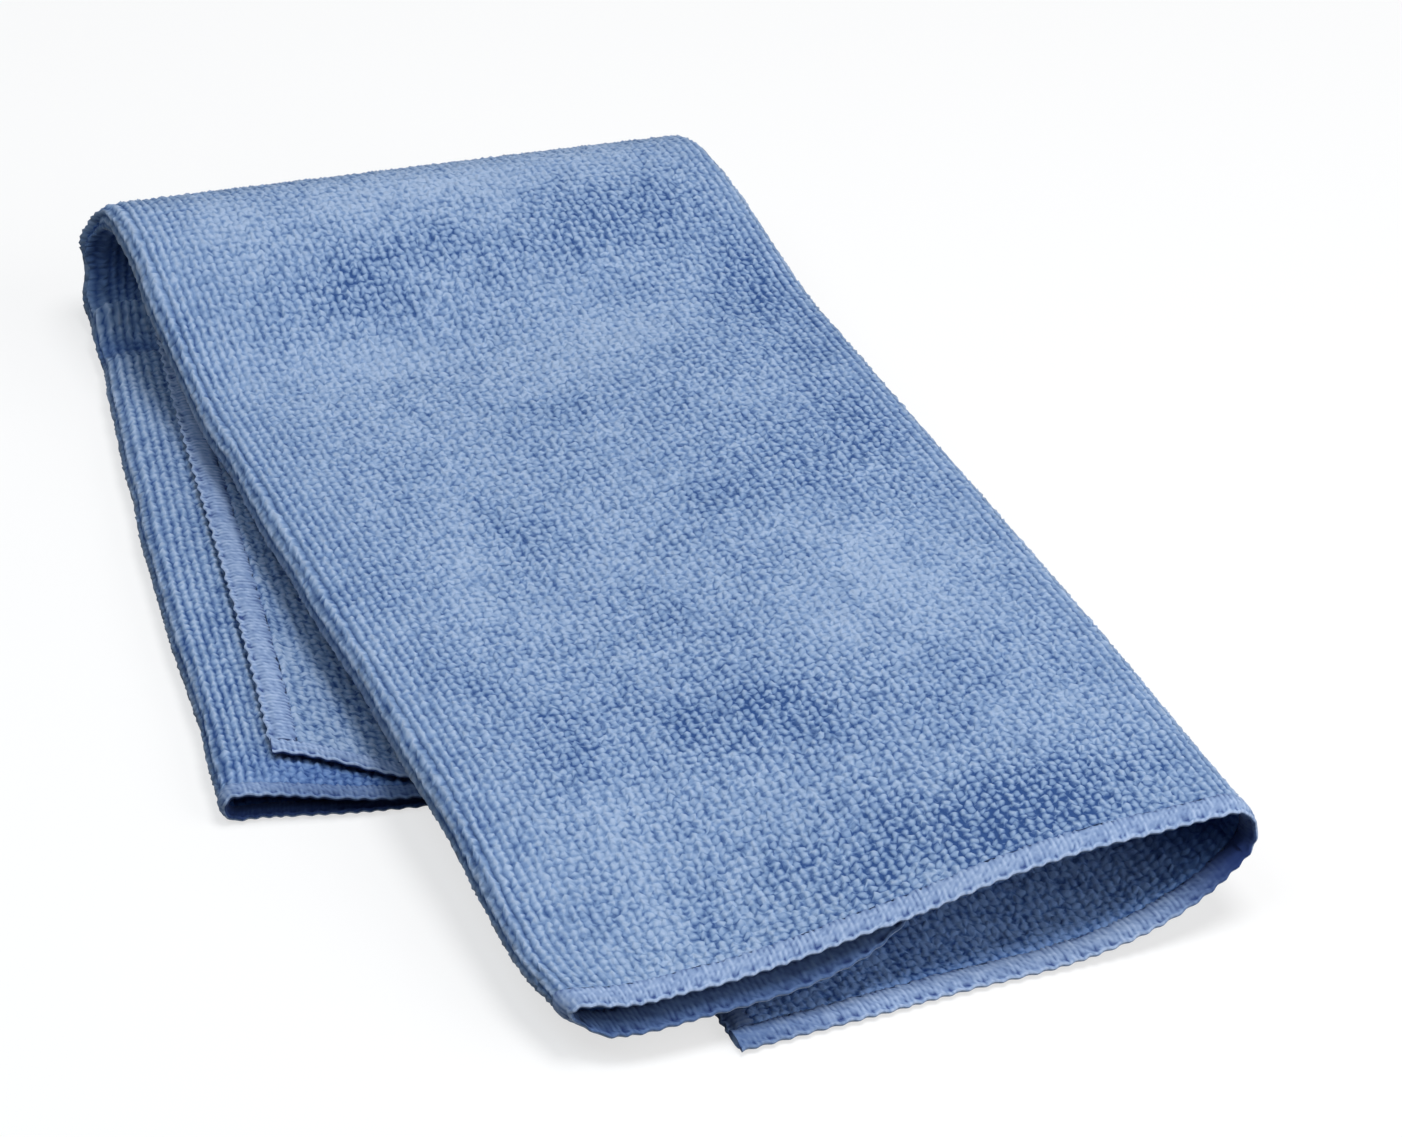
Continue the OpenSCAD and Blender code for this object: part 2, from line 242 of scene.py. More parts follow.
class FoldedCloth:
    """Where each point of the flat cloth lies once it is folded.

    across runs over the cut width from the inner flap's cut edge, along over the cut length from the
    upper end, and off stands out from the middle of the cloth's thickness.
    """

    def __init__(self, sizes, creases):
        self.sizes = sizes
        self.creases = creases
        self.pitch = sizes.cloth_t + sizes.layer_gap
        self.left_r = sizes.left_fold_h / 2
        self.right_r = sizes.right_fold_h / 2
        self.right_x = sizes.strip_w - self.right_r
        self.upper_reach = sizes.outer_flap_w - sizes.upper_slack
        self.fold_reach = sizes.outer_flap_w + sizes.fold_draw
        self.right_end = sizes.cloth_w - sizes.outer_flap_w
        self.right_start = self.right_end - math.pi * self.right_r
        self.left_end = self.right_start - (self.right_x - self.left_r)
        self.left_start = self.left_end - math.pi * self.left_r
        self.left_middle = (self.left_start + self.left_end) / 2
        stack = max(sizes.right_fold_h, sizes.left_fold_h + self.pitch)
        self.fold_r = stack + sizes.cloth_t / 2 + sizes.fold_hollow_r
        self.fold_len = math.pi * self.fold_r
        self.fold_middle = sizes.upper_l + self.fold_len * 0.5
        self.axis_z = sizes.cloth_t / 2 + self.fold_r
        self.out_x = math.sin(sizes.fold_skew)
        self.out_y = math.cos(sizes.fold_skew)
        self.set_heights()
        self.middle = (0.0, 0.0)
        self.middle = self.base_middle()

    def set_heights(self):
        """Heights of the top layer, and where the upper half leaves the ground."""
        sizes = self.sizes
        half = sizes.cloth_t / 2
        taper = sizes.strip_taper
        flap_edge = self.right_x - self.fold_reach - sizes.upper_l * math.tan(taper)
        self.rest_left = half + self.pitch + 2 * (float(self.roll_gap(flap_edge)) + self.pitch)
        self.rest_right = half + self.pitch + 2 * sizes.right_fold_h
        self.end_left = half + sizes.left_fold_h + sizes.left_lift
        self.end_right = sizes.mouth_h - half
        self.climbed = self.axis_z + self.fold_r
        far_x = np.array([0.0, sizes.strip_w - sizes.cloth_l * math.tan(taper)])
        far_y = np.array([sizes.cloth_l, sizes.cloth_l])
        ends = self.turned_over(far_x, far_y)
        self.lift_from = sizes.hem_w
        self.lift_to = float(ends[1].min()) - sizes.hem_w / 2

    def past_fold(self, x, y):
        """Distance past the cross fold's start."""
        return x * self.out_x + (y - self.sizes.upper_l) * self.out_y

    def turned_over(self, x, y):
        """Plan of a point that the cross fold turns over, on the lower half."""
        back = 2 * self.past_fold(x, y) - self.fold_len
        return x - self.out_x * back, y - self.out_y * back

    def roll_gap(self, x, squash=0.0):
        """Depth of the inner flap below the top layer: the left roll, then one pitch."""
        settled = ease(x, self.left_r, self.left_r + self.sizes.left_run)
        return mix(self.sizes.left_fold_h - squash, self.pitch, settled)

    def lift(self, y):
        """Share of the way up from the ground onto the lower half."""
        return ease(y, self.lift_from, self.lift_to)

    def top_z(self, x, y):
        """Height of the top layer's middle surface on the upper half."""
        lift = self.lift(y)
        left = mix(self.end_left, self.rest_left, lift)
        right = mix(self.end_right, self.rest_right, lift)
        lying = mix(left, right, ease(x, self.sizes.rise_from, self.sizes.rise_to))
        return mix(lying, self.climbed, ease(self.past_fold(x, y), -self.sizes.climb_run, 0.0))

    def open_angle(self, y):
        """Angle that the right roll stands open: all of it at the upper end."""
        return self.sizes.mouth_angle * (1.0 - self.lift(y))

    def flap_gap(self, x, y, row_y, from_roll):
        """Depth of the outer flap below the top layer, at a distance from the right roll."""
        run = self.sizes.right_run
        opened = self.open_angle(row_y)
        share = np.clip(from_roll / run, 0.0, 1.0)
        on_ground = self.top_z(x, y) - self.sizes.cloth_t / 2
        settled = mix(on_ground, self.roll_gap(x) + self.pitch, self.lift(y))
        leaving = mix(self.right_r * (1.0 + np.cos(opened)), settled, ease(share, 0.0, 1.0))
        return leaving + run * np.tan(opened) * share * (1.0 - share) ** 2

    def flap_reach(self, y):
        """Reach of the outer flap, from the upper end to the cross fold and on to the lower end."""
        sizes = self.sizes
        upper = mix(self.upper_reach, self.fold_reach, ease(y, 0.0, sizes.upper_l))
        lower_from = sizes.upper_l + self.fold_len
        lower = mix(self.fold_reach, sizes.outer_flap_w, ease(y, lower_from, sizes.cloth_l))
        return np.where(y < sizes.upper_l, upper, lower)

    def puff(self, x, y, share):
        """Soft swellings of the top layer, none at its long folds, at its end or past the cross fold."""
        patch = self.creases.puff_patch
        flat_end, end_run, fold_run = 2 * MM, 30 * MM, 20 * MM
        swell = 0.55 + 0.45 * soft_noise(x / patch + 3.0, y / patch, "puff")
        window = np.sqrt(np.clip(np.sin(math.pi * share), 0.0, 1.0))
        past = self.past_fold(x, y)
        ends = ease(y, flat_end, end_run) * (1.0 - ease(past, -fold_run, self.fold_len * 0.25))
        return self.creases.puff * swell * window * ends

    def edge_wave(self, y):
        """Unevenness of the left roll along the strip, and its flare at the cross fold."""
        creases = self.creases
        wave = creases.roll_wave * soft_noise(y / creases.roll_patch, 5.0, "roll")
        in_fold = (y - self.fold_middle) / self.fold_len
        # Height of each flare, and its middle and width as shares of the cross fold
        flares = [(0.4, 0.0, 0.5), (0.8, -0.02, 0.11), (0.4, 0.24, 0.09)]
        return wave + creases.rear_flare * sum(tall * hump(in_fold, at, wide) for tall, at, wide in flares)

    def rear_dent(self, y):
        """Depth of the groove that the cross fold presses into the left roll's edge."""
        return self.creases.rear_dent * hump(y, self.fold_middle, self.fold_len * 0.3)

    def upper_shift(self, across, along):
        """How far the upper end lies back from an even fold: the left corner, and the two flaps."""
        creases = self.creases
        from_left = np.abs(across - self.left_middle)
        tuck_w, tuck_run = 9 * MM, 16 * MM
        tuck = creases.corner_tuck * hump(from_left, 0.0, tuck_w) * hump(along, 0.0, tuck_run)

        roll_w, roll_run, corner_w, tip_w, flap_run = 1 * MM, 8 * MM, 24 * MM, 16 * MM, 40 * MM
        out = creases.inner_push * ease(from_left, roll_w, roll_run) * ease(across, 0.0, corner_w)
        back = creases.inner_tuck * ease(across, tip_w, 0.0)
        inner = np.where(across < self.left_start, back - out, 0.0) * ease(along, flap_run, 0.0)

        bow_at, bow_w, past_roll, end_w, bow_run = 18 * MM, 28 * MM, 8 * MM, 30 * MM, 50 * MM
        bow = hump(across - self.right_end, bow_at, bow_w)
        bow = bow - 0.35 * ease(across, self.sizes.cloth_w - end_w, self.sizes.cloth_w)
        bow = bow * ease(across, self.right_start, self.right_end + past_roll) * ease(along, bow_run, 0.0)
        return tuck + inner - creases.mouth_push * bow

    def lower_shift(self, across, along):
        """How far the lower end lies out from an even fold."""
        sizes = self.sizes
        creases = self.creases
        from_left = np.abs(across - self.left_middle)
        push_w, base_w, end_run = 35 * MM, 6 * MM, 60 * MM
        in_strip = creases.lower_out + creases.lower_push * ease(from_left, 0.0, push_w)
        in_strip = in_strip - creases.base_back * ease(across, self.left_end, self.left_end + base_w)
        in_flap = creases.flap_push * ease(sizes.cloth_w - across, 0.0, push_w)
        push = np.where(across > self.right_end, in_flap, in_strip)
        return push * ease(along, sizes.cloth_l - end_run, sizes.cloth_l)

    def droop(self, across, along):
        """How far the inner flap's hem hangs down from the top layer at the upper end."""
        roll_w, corner_w, hem_run = 8 * MM, 26 * MM, 7 * MM
        beside = ease(self.left_middle - across, 0.0, roll_w) * ease(across, 0.0, corner_w)
        return self.creases.inner_droop * beside * ease(along, hem_run, 0.0)

    def corner_round(self, across, along):
        """How far the two ends' left corners are rounded inward, and the inner flap's corner reaches in."""
        creases = self.creases
        roll_w, upper_run, lower_run, reach_run = 15 * MM, 22 * MM, 70 * MM, 50 * MM
        on_roll = hump(across, self.left_middle, roll_w)
        upper = creases.corner_round * np.clip(1.0 - along / upper_run, 0.0, 1.0) ** 2 * on_roll
        lower = creases.lower_in * ease(self.sizes.cloth_l - along, lower_run, 0.0) * on_roll
        hidden = 1.0 - ease(across, 0.0, self.left_start)
        return upper + lower + creases.inner_reach * hidden * ease(along, reach_run, 0.0)

    def plan(self, across, y, off, worn=1.0):
        """Plan and depth of the folded strip before the cross fold; worn 0 leaves out the small forms."""
        sizes = self.sizes
        line_x = self.right_x - y * math.tan(sizes.strip_taper)
        inner = across <= self.left_start
        left = (across > self.left_start) & (across <= self.left_end)
        top = (across > self.left_end) & (across <= self.right_start)
        right = (across > self.right_start) & (across <= self.right_end)

        left_turn = math.pi - (across - self.left_start) / self.left_r
        groove_turn, nose_run = 0.4, 40 * MM
        dent = worn * self.rear_dent(y) * hump(left_turn, math.pi / 2, groove_turn)
        left_out = self.left_r + off + worn * self.edge_wave(y) - dent
        squash = self.creases.rear_squash * hump(y, self.fold_middle, self.fold_len * 0.45)
        squash = worn * (squash + self.creases.nose_squash * ease(y, nose_run, 0.0))
        left_tall = self.left_r - squash / 2
        top_share = (across - self.left_end) / (self.right_start - self.left_end)
        opened = self.open_angle(y)
        right_turn = (across - self.right_start) / (self.right_end - self.right_start) * (math.pi - opened)
        pinch = worn * self.creases.rear_pinch * hump(y, self.fold_middle, self.fold_len * 0.8)
        right_out = np.sin(right_turn) * (self.right_r + off - pinch)
        flap_out = (self.right_end - across) * self.flap_reach(y) / sizes.outer_flap_w
        flap_out = flap_out + self.right_r * np.sin(opened)
        reach = np.where(right, right_out, np.where(across > self.right_end, flap_out, 0.0))

        x = np.select(
            [inner, left, top],
            [
                self.left_r + self.left_start - across,
                self.left_r - left_out * np.sin(left_turn),
                mix(self.left_r, line_x, top_share),
            ],
            line_x + math.cos(sizes.strip_taper) * reach,
        )
        row_y = y
        y = y + math.sin(sizes.strip_taper) * reach
        depth = np.select(
            [inner, left, top, right],
            [
                self.roll_gap(x, squash) + off,
                left_tall - (left_tall + off) * np.cos(left_turn),
                -off - worn * self.puff(x, y, np.clip(top_share, 0.0, 1.0)),
                self.right_r - (self.right_r + off) * np.cos(right_turn),
            ],
            self.flap_gap(x, y, row_y, across - self.right_end) + off,
        )
        return x, y, depth

    def roll_share(self, across, side):
        """How much the rows of loops spread apart on the outside of the two long folds."""
        left_w, right_w = 14 * MM, 9 * MM
        left = hump(across, self.left_middle, left_w)
        right = hump(across, (self.right_start + self.right_end) / 2, right_w)
        return np.maximum(left, right) * (side > 0)

    def painted_fold_shade(self, across, y, side, flap_tint, flap_depth, inner_depth):
        """Tint and darkening of the painted shade on faces that the folds hide and in the outside's hollows;
        a negative depth paints light.

        flap_tint and flap_depth are the outer flap's, and inner_depth is the inner flap's.
        """
        cloth_l = self.sizes.cloth_l
        fold_end = self.sizes.upper_l + self.fold_len
        on_inner = ease(across, self.left_end, self.left_start)
        on_flap = ease(across, self.right_start, self.right_end)

        # Painted shade on the faces that the folds hide: bluer and darker on the flaps, in the right roll
        # and on the lower half; where the outer flap's depth is below zero it paints light
        roll_w = 12 * MM
        in_roll = hump(across, self.right_end, roll_w)
        hidden_tint, roll_tint = 0.9, 0.5
        hidden_depth, roll_depth, lower_depth = 0.05, 0.95, 0.86
        tint = np.maximum(mix(hidden_tint, flap_tint, on_flap), roll_tint * in_roll)
        deep = mix(hidden_depth + inner_depth * on_inner, flap_depth, on_flap) + roll_depth * in_roll
        deep = mix(deep, lower_depth, ease(y, self.fold_middle, fold_end))

        end_from, end_to, corner_w = 16 * MM, 6 * MM, 16 * MM
        crease_at, crease_w = 8.5 * MM, 3.5 * MM
        in_fold = on_inner * hump(y, self.fold_middle, self.fold_len * 0.36)
        low_end = on_inner * ease(y, cloth_l - end_from, cloth_l - end_to)
        low_end *= mix(0.4, 1.0, ease(across, self.left_start, self.left_start - corner_w))
        in_crease = on_inner * hump(y, fold_end + crease_at, crease_w)
        # Painted shade on places of the outside that hardly see light, with the tint and the depth of each
        shaded = [(in_fold, 0.35, 0.68), (low_end, 0.5, 0.3), (in_crease, 0.45, 0.5)]
        outer_tint = np.max([share * place for place, share, _ in shaded], axis=0)
        outer_deep = np.max([share * place for place, _, share in shaded], axis=0)
        return np.where(side > 0, outer_tint, tint), np.where(side > 0, outer_deep, deep)

    def cut_y(self, across):
        """Slant of the cut ends on the outer flap, because the right fold is turned by the taper."""
        return -np.maximum(0.0, across - self.right_start) * math.sin(self.sizes.strip_taper)

    def row_y(self, across, off, border):
        """Place along the strip of a border: a distance from a cut end, or past the cross fold's start."""
        kind, distance = border
        if kind == "upper":
            return self.cut_y(across) + distance
        if kind == "lower":
            return self.cut_y(across) + self.sizes.cloth_l - distance
        start = np.full_like(across, self.sizes.upper_l)
        x0, y0, _ = self.plan(across, start, off, 0.0)
        x1, y1, _ = self.plan(across, start + MM, off, 0.0)
        step = (self.past_fold(x1, y1) - self.past_fold(x0, y0)) / MM
        return start + (distance - self.past_fold(x0, y0)) / step

    def run_between(self, across, borders):
        """Length of cloth between two borders, at one place across."""
        start, end = (self.row_y(np.array([across]), np.zeros(1), border)[0] for border in borders)
        return float(end - start)

    def place(self, across, y, off):
        """Points of the folded cloth in the frame, as rows of x, y and z."""
        along = y - self.cut_y(across)
        shift = self.upper_shift(across, along) + self.lower_shift(across, along)
        x, y, depth = self.plan(across, y + shift, off)
        x = x + self.corner_round(across, along)
        past = self.past_fold(x, y)
        turn = np.clip(past / self.fold_r, 0.0, math.pi)
        reach = self.fold_r - depth
        bent = reach * np.sin(turn) - past
        under_x, under_y = self.turned_over(x, y)

        frill_run, frill_patch, frill_depth = 12 * MM, 13 * MM, 20 * MM
        frill = hump(along, 0.0, frill_run) * soft_noise(across / frill_patch, along / frill_patch, "frill")
        upper_z = self.top_z(x, y) - depth - self.droop(across, along)
        upper_z = upper_z + self.creases.frill * frill * ease(depth, frill_depth, 0.0)
        ridges = self.lower_ridges(across, past)
        fold_z = self.axis_z + reach * np.cos(turn) + ridges
        lower_z = self.sizes.cloth_t / 2 + depth + ridges
        on_top = past <= 0.0
        on_fold = past < self.fold_len
        points = np.empty((len(across), 3))
        points[:, 0] = np.where(on_top, x, np.where(on_fold, x + self.out_x * bent, under_x))
        points[:, 1] = np.where(on_top, y, np.where(on_fold, y + self.out_y * bent, under_y))
        points[:, 2] = np.where(on_top, upper_z, np.where(on_fold, fold_z, lower_z))
        points[:, 0] -= self.middle[0]
        points[:, 1] -= self.middle[1]
        return points

    def lower_ridges(self, across, past):
        """Ridges and the crease between them, across the lower half's left roll by the cross fold."""
        beyond = past - self.fold_len
        crest_at, crest_w = -1 * MM, 3 * MM
        crease_at, crease_w = 8 * MM, 4 * MM
        ridge_at, ridge_w, ridge_share = 14 * MM, 3 * MM, 0.8
        roll_from, roll_to, edge_w = 30 * MM, 8 * MM, 1 * MM
        crest = self.creases.crest * hump(beyond, crest_at, crest_w)
        crease = hump(beyond, crease_at, crease_w) - ridge_share * hump(beyond, ridge_at, ridge_w)
        near_roll = ease(across, self.left_start - roll_from, self.left_start - roll_to)
        on_flap = near_roll * ease(across, self.left_end - edge_w, self.left_start)
        return (crest - self.creases.crease * crease) * on_flap

    def base_middle(self):
        """Middle of the base layer's outline, which is the frame's origin."""
        across = np.array([self.left_end, self.right_start])
        off = np.zeros(2)
        ends = [("fold", self.fold_len), ("lower", self.sizes.hem_w)]
        corners = []
        for border in ends:
            x, y, _ = self.plan(across, self.row_y(across, off, border), off, 0.0)
            corners.append(np.stack(self.turned_over(x, y), axis=1))
        return tuple(np.concatenate(corners).mean(axis=0))


# Soft patches of the nap: place across and along, size across and along, all in millimetres of the flat
# cloth, and how far the loops there stand open (dark between them) or lie brushed flat (below zero, light)
NAP_PATCHES = [
    (150, 13, 25, 12, 0.42),
    (118, 10, 10, 8, 0.15),
    (112, 52, 13, 10, 0.22),
    (130, 50, 11, 9, 0.18),
    (155, 112, 16, 10, 0.2),
    (180, 128, 8, 20, 0.2),
    (180, 165, 10, 14, 0.25),
    (106, 191, 18, 10, 0.24),
    (160, 191, 22, 11, 0.22),
    (160, 74, 14, 10, -0.25),
    (110, 95, 25, 7, -0.15),
    (92, 108, 8, 10, -0.2),
    (104, 148, 10, 8, -0.2),
    (145, 162, 20, 9, -0.2),
    (100, 172, 20, 7, -0.15),
    (129, 212, 50, 10, -0.3),
    (45, 345, 35, 75, 0.2),
    # Painted shade: the lower half's outer flap beside its side hem, darkened where the upper half shades it
    (262, 325, 18, 45, 0.3),
]


def nap_at(across, along):
    """How open the nap stands, from 0, brushed flat, to 1, with deep gaps between the loops."""
    across_mm = across / MM
    along_mm = along / MM
    nap = 0.52 + 0.08 * soft_noise(across_mm / 21 + 9.0, along_mm / 16, "nap")
    nap += 0.1 * soft_noise(across_mm / 7, along_mm / 9, "fine nap")
    for patch_across, patch_along, wide, deep, opened in NAP_PATCHES:
        nap += opened * hump(across_mm, patch_across, wide) * hump(along_mm, patch_along, deep)
    return np.clip(nap, 0.0, 1.0)


def new_object(name, data):
    """New object of the scene."""
    piece = bpy.data.objects.new(name, data)
    bpy.context.scene.collection.objects.link(piece)
    return piece


def sort_faces(bm):
    """Puts the faces in the same order in each run, by the numbers of their vertices."""
    bm.verts.index_update()
    count = len(bm.verts)

    def order(face):
        numbers = [vert.index for vert in face.verts]
        return min(numbers) * count + max(numbers)

    bm.faces.sort(key=order)


def slab(name, columns, rows):
    """New object with the mesh of a closed flat slab, and the column, row and side of each vertex."""
    bm = bmesh.new()
    bmesh.ops.create_grid(bm, x_segments=columns, y_segments=rows, size=0.5)
    raised = bmesh.ops.extrude_face_region(bm, geom=bm.faces[:], use_keep_orig=True)
    top = [item for item in raised["geom"] if isinstance(item, bmesh.types.BMVert)]
    bmesh.ops.translate(bm, verts=top, vec=(0.0, 0.0, 1.0))
    bmesh.ops.recalc_face_normals(bm, faces=bm.faces[:])
    sharp_angle = 1.0
    for edge in bm.edges:
        edge.smooth = edge.calc_face_angle(0.0) < sharp_angle
    sort_faces(bm)
    mesh = bpy.data.meshes.new(name)
    bm.to_mesh(mesh)
    bm.free()
    places = np.empty(len(mesh.vertices) * 3)
    mesh.vertices.foreach_get("co", places)
    places = places.reshape(-1, 3)
    column = np.rint((places[:, 0] + 0.5) * columns).astype(int)
    row = np.rint((places[:, 1] + 0.5) * rows).astype(int)
    side = np.where(places[:, 2] > 0.5, 1.0, -1.0)
    return new_object(name, mesh), column, row, side


def finish_mesh(piece, points, maps, marks):
    """Moves the vertices, and keeps the named maps as UV and the named marks as attributes."""
    mesh = piece.data
    mesh.vertices.foreach_set("co", points.ravel())
    corner_vertex = np.empty(len(mesh.loops), dtype=np.int32)
    mesh.loops.foreach_get("vertex_index", corner_vertex)
    for name, (u, v) in maps.items():
        flat = np.stack([u, v], axis=1)[corner_vertex]
        mesh.uv_layers.new(name=name).data.foreach_set("uv", flat.ravel())
    for name, values in marks.items():
        attribute = mesh.attributes.new(name, "FLOAT", "POINT")
        attribute.data.foreach_set("value", values.astype(np.float32))
    mesh.polygons.foreach_set("use_smooth", np.ones(len(mesh.polygons), dtype=bool))
    mesh.update()


class ClothPanel:
    """One panel of the cloth between two long lines and two borders."""

    def __init__(self, name, nodes, part, sides, borders, seed):
        self.name = name
        self.nodes = nodes
        self.part = part
        self.sides = sides
        self.borders = borders
        self.seed = seed

    def beside_hem(self, across_share, along_share):
        """Whether a place of the panel, by its shares, is at a hem."""
        at_start = (along_share == 0.0) & (self.borders[0][0] != "fold")
        at_end = (along_share == 1.0) & (self.borders[1][0] != "fold")
        at_left = (across_share == 0.0) & (self.part == "left")
        at_right = (across_share == 1.0) & (self.part == "right")
        return at_start | at_end | at_left | at_right


def seam_noise(place):
    """Unevenness along a border, the same for the panels on both of its sides."""
    patch = 1.1 * MM
    return soft_noise(place / patch, 3.7, "seam")


def pile_panel(cloth, pile, panel):
    """Terry panel: a closed slab whose faces stand up in rows of loops."""
    left, right = panel.sides
    run = cloth.run_between((left + right) / 2, panel.borders)
    columns = 2 * max(2, round((right - left) / pile.wale_pitch))
    rows = 2 * max(2, round(run / pile.loop_pitch))
    piece, column, row, side = slab(panel.name, columns, rows)
    layer = (side > 0).astype(int)
    half = cloth.sizes.cloth_t / 2
    at_side = (column == 0) | (column == columns)
    at_end = (row == 0) | (row == rows)
    inside = ~(at_side | at_end)
    rng = np.random.default_rng(panel.seed + pile.seed)

    def draw(low, high):
        return rng.uniform(low, high, (2, columns + 1, rows + 1))[layer, column, row]

    # Where the loops stand: in rows that start early or late, each loop a little off its even place
    across = left + (right - left) * column / columns
    start, end = (cloth.row_y(across, side * half, border) for border in panel.borders)
    y = mix(start, end, row / rows)
    side_noise = seam_noise(y)
    end_noise = seam_noise(across)
    row_offset, settling_rows = 0.3, 3.0
    stagger = rng.uniform(-row_offset, row_offset, (2, columns + 1)) * pile.loop_pitch
    stagger[:, 2:-1:2] = (stagger[:, 1:-2:2] + stagger[:, 3::2]) / 2
    slide = stagger[layer, column] + pile.loop_jitter * draw(-1.0, 1.0)
    slide *= np.clip(np.minimum(row, rows - row) / settling_rows, 0.0, 1.0)
    shift = pile.loop_jitter * draw(-1.0, 1.0)
    across = across + np.where(inside, shift, np.where(at_end, 0.0, pile.loop_jitter * side_noise))
    y = y + np.where(inside, slide, np.where(at_side, 0.0, pile.loop_jitter * end_noise))
    along = y - cloth.cut_y(across)

    # How high they stand, as shares of the pile's depth: heads and necks of a row, and the gaps beside it
    shortest, neck, roll_neck = 0.7, 0.58, 0.8
    head_gap, neck_gap, roll_fill = 0.36, 0.16, 0.7
    uneven, seam_ridge, seam_uneven, hem_height = 0.16, 0.8, 0.15, 0.35
    on_wale = column % 2 == 1
    on_loop = row % 2 == 1
    roll = cloth.roll_share(across, side)
    tall = draw(shortest, 1.0)
    ridge = np.where(on_loop, tall, tall * mix(neck, roll_neck, roll))
    valley = np.where(on_loop, head_gap, neck_gap) * (1.0 - roll_fill * roll)
    height = np.where(on_wale, ridge, valley) + uneven * draw(-1.0, 1.0)
    seam = np.where(at_end, np.where(on_wale, seam_ridge, valley), valley + seam_uneven * side_noise)
    height = np.clip(np.where(inside, height, seam), 0.0, 1.0)
    height = np.where(panel.beside_hem(column / columns, row / rows), hem_height, height)
    nap = nap_at(across, along)
    brushed_stand = 0.75
    off = side * (half - pile.pile_depth * (1.0 - height) * mix(brushed_stand, 1.0, nap))

    # Marks of painted shade, bluer and darker, on faces that the folds hide and in the outside's hollows,
    # and of painted light on the outer flap's hidden face
    dye, deep = cloth.painted_fold_shade(across, y, side, flap_tint=0.85, flap_depth=-0.33, inner_depth=0.62)
    marks = {"loop": height, "nap": nap, "roll": roll, "dye": dye, "deep": deep}
    apart = 40.0
    maps = {"flat_cloth": (across, along), "pile_rows": (column / 2 + apart * layer, row / 2 + panel.seed)}
    finish_mesh(piece, cloth.place(across, y, off), maps, marks)
    return piece


def hem_spacing(rows):
    """Shares of the hem's depth for the rows of its mesh, crowded at the cut edge."""
    crowding = 1.4
    return (np.arange(rows + 1) / rows) ** crowding


def hem_profile(inward):
    """Share of the hem's thickness: the edge cord, the groove behind it, and the flat of the bars."""
    cord_w, groove_at, groove_w, groove_share = 0.07, 0.17, 0.06, 0.25
    from_cord = 1.0 - np.clip(inward / cord_w, 0.0, 1.0)
    round_edge = np.sqrt(np.clip(1.0 - from_cord**2, 0.05, 1.0))
    flat = mix(0.5, 1.0, ease(inward, 0.1, 0.45)) * mix(1.0, 0.6, ease(inward, 0.84, 1.0))
    return round_edge * (1.0 - groove_share * hump(inward, groove_at, groove_w)) * flat


def hem_piece(cloth, stitches, name, line, seed):
    """Overlocked hem: thread bars over the cut edge, and an edge cord that loops between them.

    line gives across and y for places along the cut edge and in from it.
    """
    sizes = cloth.sizes
    columns = 2 * max(2, round(line.length / stitches.bar_pitch))
    rows = 10
    piece, column, row, side = slab(name, columns, rows)
    inward = hem_spacing(rows)[row]
    run = line.length * column / columns
    rng = np.random.default_rng(seed)
    layer = (side > 0).astype(int)
    uneven = rng.uniform(-1.0, 1.0, (2, columns + 1))[layer, column]
    fuzz = rng.uniform(-1.0, 1.0, (2, columns + 1, rows + 1))[layer, column, row]

    # Needle holes behind the edge cord, which bows out beside each of them
    stray, stray_patch = 0.22, 4 * MM
    holes, shallowest = 1000, 0.35
    hole_at, hole_w, hole_run, bow_run = 0.16, 0.08, 0.2, 0.3
    phase = run / stitches.needle_pitch + stray * soft_noise(run / stray_patch, seed, "needle")
    from_hole = np.abs(phase - np.rint(phase))
    sunk = rng.uniform(shallowest, 1.0, holes)[np.rint(phase).astype(int) % holes]
    hole = sunk * hump(from_hole, 0.0, hole_run) * hump(inward, hole_at, hole_w)
    outward = stitches.scallop * hump(from_hole, 0.0, bow_run) * (1.0 - inward) ** 3
    bite = stitches.bite * uneven * ease(inward, 0.7, 1.0)
    depth_in = inward * line.depth - outward + bite

    between_ends = (column > 0) & (column < columns)
    bar = np.where(column % 2 == 1, 0.7 + 0.3 * uneven, 0.0) * between_ends
    profile = hem_profile(inward)
    half = sizes.hem_t / 2 * profile
    half += stitches.bar_depth * (bar - 0.4 + 0.35 * fuzz) * profile * ease(inward, 0.12, 0.3)
    half -= stitches.dot_depth * hole
    slant = 0.5 * stitches.bar_pitch * inward * between_ends
    across, y = line.at(run + slant, depth_in, side * half)
    along = y - cloth.cut_y(across)

    # Tone of the thread, with painted shade in the needle holes and at the bars' inner ends; lighter along
    # the bars and the edge cord
    cord = hump(inward, 0.03, 0.06)
    inner_end = ease(inward, 0.75, 1.0)
    light = 0.42 + 0.4 * bar + 0.24 * fuzz + 0.3 * cord - 0.9 * hole - 0.3 * inner_end
    corner_w = 30 * MM
    corner = ease(across, sizes.cloth_w - corner_w, sizes.cloth_w)
    # Marks of painted shade, bluer and darker, on hems that the folds hide or shade
    dye, deep = cloth.painted_fold_shade(across, y, side, flap_tint=0.8 * corner, flap_depth=0.05, inner_depth=0.3)
    marks = {"bar": np.clip(light, 0.0, 1.0), "dye": dye, "deep": deep}
    finish_mesh(piece, cloth.place(across, y, side * half), {"flat_cloth": (across, along)}, marks)
    return piece


class EndLine:
    """Cut end of the cloth, from the inner flap's corner to the outer flap's."""

    def __init__(self, cloth, border):
        self.cloth = cloth
        self.kind, self.depth = border
        self.length = cloth.sizes.cloth_w

    def at(self, run, depth_in, off):
        """Places on the cloth."""
        across = np.clip(run, 0.0, self.length)
        return across, self.cloth.row_y(across, off, (self.kind, depth_in))


